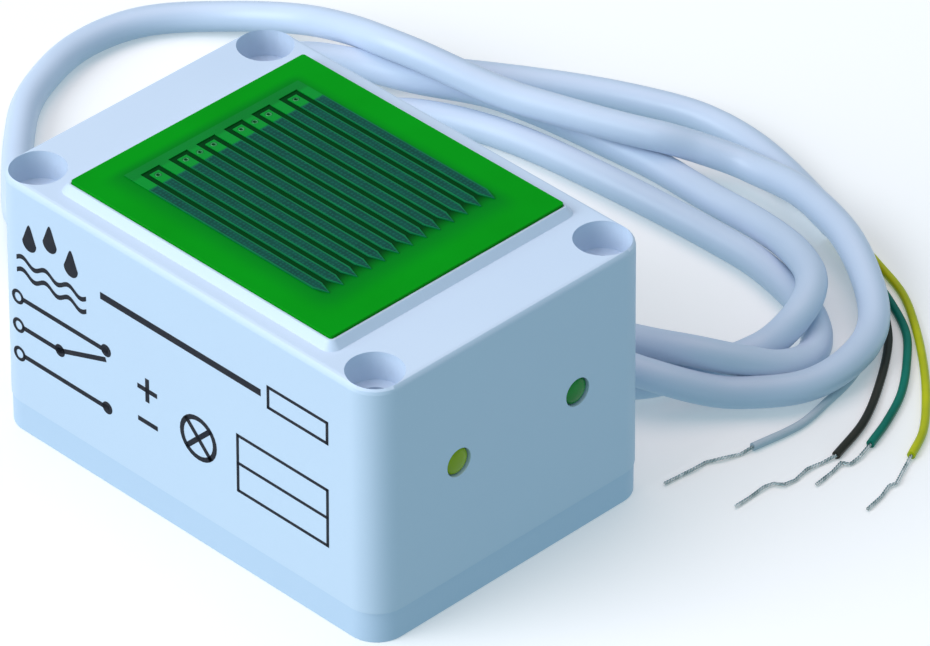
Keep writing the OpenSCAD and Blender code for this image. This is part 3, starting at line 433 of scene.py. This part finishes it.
lean = math.atan2(side_top_mm[1] - side_foot_mm[1], side_top_mm[2] - side_foot_mm[2])
upright = Matrix.Rotation(math.radians(90) - lean, 4, "X")
foot = Vector(side_foot_mm) - Vector((0, ink_proud, 0))
raised = Matrix.Translation(foot) @ upright @ Matrix.Translation((0, -side_foot_mm[2], 0))
bmesh.ops.transform(print_shape, matrix=Matrix.Scale(MM, 4) @ raised, verts=print_shape.verts)
print_mesh = bpy.data.meshes.new("side_print")
print_shape.to_mesh(print_mesh)
print_shape.free()
print_mesh.materials.append(ink_dark)
side_print = linked(bpy.data.objects.new("side_print", print_mesh))
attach(side_print, "case")

# The sensor board: glass-fibre board under bright green lacquer. The comb on it is electrically
# bare, so the lacquer stops round it and the darker board shows between the strips.
sensor_dx = -0.3
strip_count = 13
strip_pitch = 2.47
strip_w = 1.6
strip_x0 = -15.4
strip_x1 = 17.4
comb_dy = 0.3
comb_y0 = comb_dy - (strip_count - 1) / 2 * strip_pitch - strip_w / 2
comb_y1 = comb_dy + (strip_count - 1) / 2 * strip_pitch + strip_w / 2
field_limits = (
    "Low X", "High X", "Low Y", "High Y", "Soft Low X", "Soft High X", "Soft Low Y", "Soft High Y")


def cloth_group():
    """Weave of the glass cloth under a board's lacquer, as two crossing rows of threads."""
    group = bpy.data.node_groups.new("glass_cloth", "ShaderNodeTree")
    made = group.interface.new_socket(
        name="Thread Scale", in_out="INPUT", socket_type="NodeSocketFloat")
    made.default_value = 350.0
    group.interface.new_socket(name="Mask", in_out="OUTPUT", socket_type="NodeSocketFloat")
    given = placed(group, "NodeGroupInput")
    place = placed(group, "ShaderNodeTexCoord").outputs["Object"]
    rows = [placed(group, "ShaderNodeTexWave",
                   {"Vector": place, "Scale": given.outputs["Thread Scale"], "Distortion": 3.0,
                    "Detail": 1.0, "Detail Scale": 1.5}, bands_direction=side) for side in ("X", "Y")]
    both = placed(group, "ShaderNodeMath", {0: rows[0].outputs["Fac"], 1: rows[1].outputs["Fac"]},
                  operation="MULTIPLY")
    put = placed(group, "NodeGroupOutput")
    group.links.new(both.outputs["Value"], put.inputs["Mask"])
    return group


def field_group():
    """Mask of a rectangle on a board, with its own soft edge on each side, in millimetres."""
    group = bpy.data.node_groups.new("soft_field", "ShaderNodeTree")
    for name in field_limits:
        group.interface.new_socket(name=name, in_out="INPUT", socket_type="NodeSocketFloat")
    group.interface.new_socket(name="Mask", in_out="OUTPUT", socket_type="NodeSocketFloat")
    given = placed(group, "NodeGroupInput")
    place = placed(group, "ShaderNodeTexCoord").outputs["Object"]
    in_mm = placed(group, "ShaderNodeVectorMath", {0: place, "Scale": 1 / MM}, operation="SCALE")
    split = placed(group, "ShaderNodeSeparateXYZ", {0: in_mm.outputs["Vector"]})
    mask = None
    for axis in ("X", "Y"):
        for side, sign in (("Low", -1), ("High", 1)):
            limit = given.outputs[f"{side} {axis}"]
            soft = given.outputs[f"Soft {side} {axis}"]
            away = placed(group, "ShaderNodeMath", {0: split.outputs[axis], 1: limit},
                          operation="SUBTRACT")
            past = placed(group, "ShaderNodeMath", {0: away.outputs["Value"], 1: sign},
                          operation="MULTIPLY")
            fade = placed(
                group, "ShaderNodeMapRange",
                {"Value": past.outputs["Value"], "From Max": soft, "To Min": 1.0, "To Max": 0.0},
                interpolation_type="SMOOTHSTEP")
            result = fade.outputs["Result"]
            if mask:
                both = placed(group, "ShaderNodeMath", {0: mask, 1: result}, operation="MULTIPLY")
                result = both.outputs["Value"]
            mask = result
    put = placed(group, "NodeGroupOutput")
    group.links.new(mask, put.inputs["Mask"])
    return group


glass_cloth = cloth_group()
soft_field = field_group()


def tinted(material, mask, tint):
    """Lays a tint over a finish where the mask is on."""
    tree = material.node_tree
    shader = tree.nodes["Principled BSDF"]
    under = shader.inputs["Base Color"].links[0].from_socket
    over = placed(tree, "ShaderNodeMix", {"Factor": mask, "A": under}, data_type="RGBA")
    over.inputs["B"].default_value = (*tint, 1)
    tree.links.new(over.outputs["Result"], shader.inputs["Base Color"])


def field(material, x0, x1, y0, y1, soft_x0, soft_x1, soft_y0, soft_y1):
    """A soft rectangle's mask in a finish."""
    values = (x0, x1, y0, y1, soft_x0, soft_x1, soft_y0, soft_y1)
    made = placed(material.node_tree, "ShaderNodeGroup", node_tree=soft_field)
    for name, value in zip(field_limits, values):
        made.inputs[name].default_value = value
    return made.outputs["Mask"]


board_lacquer = coated(
    "board_lacquer", (0.0, 0.33, 0.006), (0.0, 0.29, 0.004), 0.34, 0.44, 700, 70, 0.01, shine=0.04)
near_comb = field(
    board_lacquer, strip_x0 - 5, strip_x1 - 1, comb_y0 + 1, comb_y1 - 1, 2, 5, 5, 3)
tinted(board_lacquer, near_comb, (0.0, 0.21, 0.010))
in_comb = field(
    board_lacquer, strip_x0 - 3.6, strip_x1 - 2.6, comb_y0 + 0.5, comb_y1 - 0.5, 0.2, 2.6, 0.7, 0.7)
tinted(board_lacquer, in_comb, (0.0, 0.045, 0.005))
dressed("sensor_board", board_lacquer, 0.06)

# The comb: thirteen pointed strips of printed carbon on copper. The carbon is laid on a little
# narrower than the copper, so that a light line of lacquered copper shows along each edge.
tip_len = 2.2
strip_t = 0.15
strip_z = 41.6
border_w = 0.24
strip_carbon = coated(
    "strip_carbon", (0.003, 0.078, 0.050), (0.002, 0.056, 0.036), 0.4, 0.6, 2500, 500, 0.02, shine=0.12)
cloth = placed(strip_carbon.node_tree, "ShaderNodeGroup", node_tree=glass_cloth)
cloth.inputs["Thread Scale"].default_value = 520
tinted(strip_carbon, cloth.outputs["Mask"], (0.006, 0.115, 0.072))
strip_border = coated(
    "strip_border", (0.003, 0.19, 0.060), (0.003, 0.15, 0.048), 0.35, 0.5, 1500, 300, 0.01, shine=0.12)
strips_shape = bmesh.new()
made = bmesh.ops.create_grid(strips_shape, x_segments=1, y_segments=2, size=0.5)
for vert in made["verts"]:
    outer = abs(vert.co.y) > 0.25
    at_tip = vert.co.x > 0
    vert.co.y *= strip_w
    vert.co.x = strip_x1 - tip_len * outer if at_tip else strip_x0
middle = [edge for edge in strips_shape.edges if all(abs(vert.co.y) < 0.1 for vert in edge.verts)]
bmesh.ops.dissolve_edges(strips_shape, edges=middle)
raised = bmesh.ops.extrude_face_region(strips_shape, geom=list(strips_shape.faces))
upper = [item for item in raised["geom"] if isinstance(item, bmesh.types.BMVert)]
bmesh.ops.translate(strips_shape, vec=(0, 0, strip_t), verts=upper)
top = [face for face in strips_shape.faces if all(vert in upper for vert in face.verts)]
bmesh.ops.inset_individual(strips_shape, faces=top, thickness=border_w)
for face in strips_shape.faces:
    face.material_index = 1
for face in top:
    face.material_index = 0
one_strip = list(strips_shape.verts) + list(strips_shape.edges) + list(strips_shape.faces)
for count in range(1, strip_count):
    copy = bmesh.ops.duplicate(strips_shape, geom=one_strip)
    verts = [item for item in copy["geom"] if isinstance(item, bmesh.types.BMVert)]
    bmesh.ops.translate(strips_shape, vec=(0, count * strip_pitch, 0), verts=verts)
bmesh.ops.translate(strips_shape, verts=strips_shape.verts,
                    vec=(sensor_dx, comb_y0 + strip_w / 2, strip_z))
bmesh.ops.recalc_face_normals(strips_shape, faces=strips_shape.faces)
bmesh.ops.scale(strips_shape, vec=(MM, MM, MM), verts=strips_shape.verts)
strips_mesh = bpy.data.meshes.new("carbon_strips")
strips_shape.to_mesh(strips_mesh)
strips_shape.free()
strips_mesh.materials.append(strip_carbon)
strips_mesh.materials.append(strip_border)
carbon_strips = linked(bpy.data.objects.new("carbon_strips", strips_mesh))
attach(carbon_strips, "case")
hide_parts("sensor_strips")

# The tracks: copper under green lacquer at the strips' square ends. One long track joins every
# second strip, and the others end in a pad each, which shows a little lighter.
track_lacquer = coated(
    "track_lacquer", (0.0, 0.235, 0.022), (0.0, 0.205, 0.018), 0.34, 0.46, 1200, 150, 0.01, shine=0.12)
pads_field = field(
    track_lacquer, strip_x0 - 2.8, strip_x0 + 1, comb_y0 - 1, comb_y1 + 1, 0.6, 1, 1, 1)
tinted(track_lacquer, pads_field, (0.0, 0.285, 0.024))
dressed("sensor_tracks", track_lacquer, 0.05)

# The plated holes: tinned copper tubes through the pads, which carry the comb's signals to the
# other side of the board.
via_tin = coated(
    "via_tin", (0.06, 0.34, 0.10), (0.02, 0.20, 0.05), 0.3, 0.45, 3000, 900, 0.01, metal=0.2)
dressed("sensor_vias", via_tin, 0.03)

# The adhesive: a cream double-sided foam frame that holds the sensor board in its recess.
foam_tape = coated("foam_tape", (0.70, 0.66, 0.54), (0.58, 0.54, 0.43), 0.7, 0.9, 1600, 300, 0.06)
dressed("board_adhesive", foam_tape, 0.03)

# The heaters: four flat resistors soldered under the sensor board, black between tinned ends.
# They warm the board so that it dries and dew doesn't count as rain.
chip_black = coated(
    "chip_black", (0.030, 0.031, 0.034), (0.018, 0.019, 0.021), 0.45, 0.65, 2500, 400, 0.02)
dressed("heater_resistors", chip_black, 0.08)

# The contact pins: four square-cut brass pins, tin flashed, that carry the comb's signals from
# the sensor board down to the main board.
pin_brass = coated(
    "pin_brass", (0.78, 0.60, 0.26), (0.62, 0.46, 0.19), 0.2, 0.35, 3000, 700, 0.008, metal=1.0)
dressed("contact_pins", pin_brass, 0.06)

# The pin strip: black glass-filled nylon round the four pins, standing on the main board.
strip_nylon = coated(
    "strip_nylon", (0.028, 0.028, 0.030), (0.018, 0.018, 0.019), 0.5, 0.7, 1800, 300, 0.03)
dressed("contact_strip", strip_nylon, 0.15)

# The main board: green lacquered glass-fibre board with copper tracks under the lacquer. It
# stands on four pillars and carries the relay and the other parts.
main_lacquer = coated(
    "main_lacquer", (0.012, 0.16, 0.045), (0.008, 0.12, 0.034), 0.3, 0.42, 900, 120, 0.01)
place = placed(main_lacquer.node_tree, "ShaderNodeTexCoord").outputs["Object"]
tracks = placed(main_lacquer.node_tree, "ShaderNodeTexBrick",
                {"Vector": place, "Scale": 120.0, "Mortar Size": 0.022, "Mortar Smooth": 0.1,
                 "Color1": (0, 0, 0, 1), "Color2": (0, 0, 0, 1), "Mortar": (1, 1, 1, 1)})
tinted(main_lacquer, tracks.outputs["Color"], (0.03, 0.26, 0.07))
threads = placed(main_lacquer.node_tree, "ShaderNodeGroup", node_tree=glass_cloth)
threads.inputs["Thread Scale"].default_value = 700
faint = placed(main_lacquer.node_tree, "ShaderNodeMath", {0: threads.outputs["Mask"], 1: 0.25},
               operation="MULTIPLY")
tinted(main_lacquer, faint.outputs["Value"], (0.04, 0.22, 0.09))
dressed("main_board", main_lacquer, 0.08)

# The board screws: four short pan-head steel screws into the base plate's pillars.
dressed("board_screws", zinc_steel, 0.2)

# The indicator lights: two tinted lenses of cast epoxy, pushed from inside into their holes so
# that the low dome ends just under the case's face. One is yellow-green and one is green.
led_tip_x = 35.9 * MM
led_dome = 1.96 * MM
led_lowness = 0.3
lens_clear = 0.1
epoxy_ior = 1.52


def lens(name, light, dark):
    """A tinted, slightly cloudy lens."""
    material = coated(name, light, dark, 0.08, 0.15, 1200, 250, 0.004, shine=0.15)
    shader = material.node_tree.nodes["Principled BSDF"]
    shader.inputs["Transmission Weight"].default_value = lens_clear
    shader.inputs["IOR"].default_value = epoxy_ior
    return material


lens_yellow = lens("lens_yellow", (0.46, 0.60, 0.004), (0.36, 0.48, 0.003))
lens_green = lens("lens_green", (0.001, 0.30, 0.035), (0.001, 0.23, 0.025))
for light in (dressed("led_yellow", lens_yellow, 0.12),
              dressed("led_green", lens_green, 0.12)):
    for vert in light.data.vertices:
        if vert.co.x > led_tip_x - led_dome:
            vert.co.x = led_tip_x - (led_tip_x - vert.co.x) * led_lowness

# The lights' legs: tinned steel wire, bent down to the main board and soldered through it.
lead_tin = coated(
    "lead_tin", (0.74, 0.74, 0.76), (0.55, 0.56, 0.58), 0.25, 0.45, 3000, 900, 0.01, metal=1.0)
dressed("led_leads", lead_tin, 0.03)

# The relay's base: black plastic plate that the yoke, the contacts and the pins are held in.
relay_black = coated(
    "relay_black", (0.026, 0.026, 0.028), (0.017, 0.017, 0.018), 0.5, 0.7, 1800, 300, 0.03)
dressed("relay_base", relay_black, 0.2)

# The relay's cover: a thin blue plastic box glued over the base.
relay_blue = coated(
    "relay_blue", (0.030, 0.115, 0.42), (0.022, 0.090, 0.34), 0.28, 0.4, 1500, 150, 0.015)
dressed("relay_cover", relay_blue, 0.3)

# The bobbin: a cream nylon spool with two flanges, on the core.
bobbin_nylon = coated(
    "bobbin_nylon", (0.74, 0.70, 0.58), (0.66, 0.62, 0.50), 0.4, 0.55, 1500, 250, 0.015)
dressed("relay_bobbin", bobbin_nylon, 0.15)

# The coil: fine enamelled copper wire wound in close layers. Its ribbed outside is shown only in colour,
# as lighter bands along the turns, a painted sheen on each turn's crown.
turn_scale = 2600
winding_copper = coated(
    "winding_copper", (0.62, 0.26, 0.11), (0.48, 0.19, 0.08), 0.25, 0.4, 2500, 500, 0.01, metal=0.8)
# Lighter copper in bands round the coil: a painted sheen on the turns' crowns, in place of the ribs' own
# light.
painted_turn_sheen = placed(winding_copper.node_tree, "ShaderNodeTexWave",
               {"Vector": placed(winding_copper.node_tree, "ShaderNodeTexCoord").outputs["Object"],
                "Scale": turn_scale}, bands_direction="Z")
tinted(winding_copper, painted_turn_sheen.outputs["Fac"], (0.80, 0.38, 0.17))
dressed("relay_coil", winding_copper, 0.1)

# The core: a turned iron pin with a wide pole face, pressed through the bobbin.
soft_iron = coated(
    "soft_iron", (0.52, 0.53, 0.55), (0.38, 0.39, 0.41), 0.3, 0.5, 2500, 300, 0.015, metal=1.0)
dressed("relay_core", soft_iron, 0.12)

# The yoke: an iron strip bent at a right angle, which takes the field round the coil.
dressed("relay_yoke", soft_iron, 0.15)

# The armature: a flat iron plate that rocks on the yoke's edge and closes onto the pole.
dressed("relay_armature", soft_iron, 0.12, body="armature")

# The contact arm: a springy bronze strip riveted to the armature, with a contact button.
contact_bronze = coated(
    "contact_bronze", (0.76, 0.48, 0.22), (0.62, 0.38, 0.17), 0.22, 0.38, 3000, 500, 0.008, metal=1.0)
dressed("relay_contact_arm", contact_bronze, 0.04, body="armature")

# The fixed contacts: two bent bronze strips with buttons, one above and one below the arm.
dressed("relay_contacts", contact_bronze, 0.04)

# The relay's pins: tinned bronze pins soldered through the main board.
dressed("relay_pins", lead_tin, 0.06)

# The comparator chip: a moulded black package with a round mark beside its first leg.
package_black = coated(
    "package_black", (0.024, 0.024, 0.026), (0.015, 0.015, 0.016), 0.55, 0.75, 2200, 350, 0.03)
first_leg_mark = field(package_black, 2.2, 2.8, -14.2, -13.6, 0.3, 0.3, 0.3, 0.3)
tinted(package_black, first_leg_mark, (0.10, 0.10, 0.10))
dressed("comparator_chip", package_black, 0.25)

# The chip's legs: tinned strips bent down to the board.
dressed("chip_legs", lead_tin, 0.03)

# The voltage regulator: a small moulded package with one flat side, on three legs.
dressed("regulator", chip_black, 0.15)

# The transistor: the same package, which switches the relay's coil.
dressed("transistor", chip_black, 0.15)


def band_group():
    """Mask of a ring round a small part, across the axis that its Along vector names."""
    group = bpy.data.node_groups.new("ring_band", "ShaderNodeTree")
    group.interface.new_socket(name="Along", in_out="INPUT", socket_type="NodeSocketVector")
    for name in ("Centre", "Half Width"):
        group.interface.new_socket(name=name, in_out="INPUT", socket_type="NodeSocketFloat")
    group.interface.new_socket(name="Mask", in_out="OUTPUT", socket_type="NodeSocketFloat")
    given = placed(group, "NodeGroupInput")
    place = placed(group, "ShaderNodeTexCoord").outputs["Object"]
    height = placed(group, "ShaderNodeVectorMath", {0: place, 1: given.outputs["Along"]},
                    operation="DOT_PRODUCT")
    inside = placed(
        group, "ShaderNodeMath",
        {0: height.outputs["Value"], 1: given.outputs["Centre"], 2: given.outputs["Half Width"]},
        operation="COMPARE")
    put = placed(group, "NodeGroupOutput")
    group.links.new(inside.outputs["Value"], put.inputs["Mask"])
    return group


ring_band = band_group()


def banded(material, along, bands_mm):
    """Coloured rings round a small part, each as centre, width and tint."""
    for centre, width, tint in bands_mm:
        band = placed(material.node_tree, "ShaderNodeGroup", node_tree=ring_band)
        band.inputs["Along"].default_value = along
        band.inputs["Centre"].default_value = centre * MM
        band.inputs["Half Width"].default_value = width / 2 * MM
        tinted(material, band.outputs["Mask"], tint)
    return material


# The diode: a black moulded rod with a pale ring at one end, across the relay's coil.
diode_x = -5.8
diode_black = banded(
    coated("diode_black", (0.022, 0.022, 0.024), (0.014, 0.014, 0.015), 0.4, 0.6, 2200, 400, 0.02),
    (1, 0, 0), [(diode_x + 1.7, 0.7, (0.60, 0.61, 0.62))])
dressed("diode", diode_black, 0.2)

# The capacitors: two aluminium cans in dark shrunk sleeves, each with bare metal on its top.
sleeve_dark = banded(
    coated("sleeve_dark", (0.030, 0.035, 0.11), (0.022, 0.026, 0.085), 0.25, 0.4, 1500, 250, 0.01),
    (0, 0, 1), [(30.8, 0.5, (0.66, 0.67, 0.69)), (20.1, 0.5, (0.16, 0.17, 0.22))])
dressed("capacitors", sleeve_dark, 0.3)

# The resistors: beige lacquered rods with coloured rings.
resistor_x = 11.0
resistor_coat = banded(
    coated("resistor_coat", (0.62, 0.46, 0.26), (0.52, 0.38, 0.21), 0.35, 0.5, 1800, 300, 0.015),
    (1, 0, 0),
    [(resistor_x - 1.9, 0.5, (0.30, 0.03, 0.02)), (resistor_x - 0.9, 0.5, (0.20, 0.03, 0.30)),
     (resistor_x + 0.1, 0.5, (0.60, 0.16, 0.02)), (resistor_x + 1.9, 0.5, (0.55, 0.38, 0.10))])
dressed("resistors", resistor_coat, 0.3)

# The leads of these parts: tinned copper wire, bent and soldered to the board.
dressed("component_leads", lead_tin, 0.03)

# The grommet: white moulded rubber, snapped into the wall. Its nose tapers along the cable and
# has turned grooves, so that the cable bends gently where it leaves the case.
nose_from_mm = -41.8
cable_axis = Vector((0, 0, 12)) * MM
core_r = 2.5 * MM
groove_count = 4
groove_pitch = 1.3
groove_half = 0.25
groove_share = 0.9
near = 0.05 * MM
grommet_rubber = coated(
    "grommet_rubber", (0.60, 0.66, 0.78), (0.54, 0.60, 0.72), 0.5, 0.65, 1200, 120, 0.025)
grommet = dressed("cable_grommet", grommet_rubber, 0.12)
grommet_shape = bmesh.new()
grommet_shape.from_mesh(grommet.data)
for count in range(groove_count):
    for side in (-1, 0, 1):
        cut_x = (nose_from_mm + count * groove_pitch + side * groove_half) * MM
        bmesh.ops.bisect_plane(
            grommet_shape, geom=grommet_shape.verts[:] + grommet_shape.edges[:] + grommet_shape.faces[:],
            plane_co=(cut_x, 0, 0), plane_no=(1, 0, 0))
    low = (nose_from_mm + count * groove_pitch) * MM
    ring_verts = [vert for vert in grommet_shape.verts
                  if abs(vert.co.x - low) < near
                  and (vert.co - cable_axis).yz.length > core_r]
    bmesh.ops.scale(grommet_shape, vec=(1, groove_share, groove_share), verts=ring_verts,
                    space=Matrix.Translation(-cable_axis))
grommet_shape.to_mesh(grommet.data)
grommet_shape.free()

# The tie: a white nylon tie pulled tight round the cable inside the case, against the grommet,
# so that a pull on the cable doesn't reach the leads.
tie_nylon = coated("tie_nylon", (0.72, 0.73, 0.70), (0.64, 0.65, 0.62), 0.4, 0.55, 1500, 250, 0.02)
dressed("cable_tie", tie_nylon, 0.15)

# The cable's inner end: the jacket through the grommet, cut off squarely inside the case.
dressed("cable_inner_end", jacket_white, 0.1)

# The inner leads: the same four wires, led from the jacket's end up to the main board.
for name in wire_finish:
    dressed(f"inner_lead_{name}", wire_finish[name], 0.02)

# The floor: plain pale card under the part, a little bright of its own so that it stays nearly
# white. The lamps are large and soft, and the side with the two lights stays in shade.
card_glow = 0.18
floor_mesh = bpy.data.meshes.new("floor")
floor_shape = bmesh.new()
bmesh.ops.create_grid(floor_shape, x_segments=1, y_segments=1, size=4)
floor_shape.to_mesh(floor_mesh)
floor_shape.free()
floor_card = coated("floor_card", (0.97, 0.90, 0.86), (0.96, 0.89, 0.85), 0.8, 0.9, 40, 4, 0.01)
card_shader = floor_card.node_tree.nodes["Principled BSDF"]
card_shader.inputs["Emission Color"].default_value = (1, 1, 1, 1)
card_shader.inputs["Emission Strength"].default_value = card_glow
floor = linked(bpy.data.objects.new("floor", floor_mesh))
floor_mesh.materials.append(floor_card)
floor.visible_diffuse = False


def lamp(name, place, size, power, tint):
    data = bpy.data.lights.new(name, "AREA")
    data.shape = "DISK"
    data.size = size
    data.energy = power
    data.color = tint
    piece = linked(bpy.data.objects.new(name, data))
    piece.location = place
    piece.rotation_euler = (-Vector(place)).to_track_quat("-Z", "Y").to_euler()


lamp("key", (-0.5, -1.3, 0.9), 1.4, 24, (0.81, 0.90, 1.0))
lamp("top", (-0.2, 0.2, 1.6), 1.8, 9, (1.0, 0.70, 0.68))
world = bpy.data.worlds.new("studio")
world.use_nodes = True
sky = world.node_tree.nodes["Background"]
sky.inputs["Color"].default_value = (0.50, 0.84, 1.0, 1)
sky.inputs["Strength"].default_value = 0.51
bpy.context.scene.world = world
bpy.context.scene.view_settings.view_transform = "Standard"
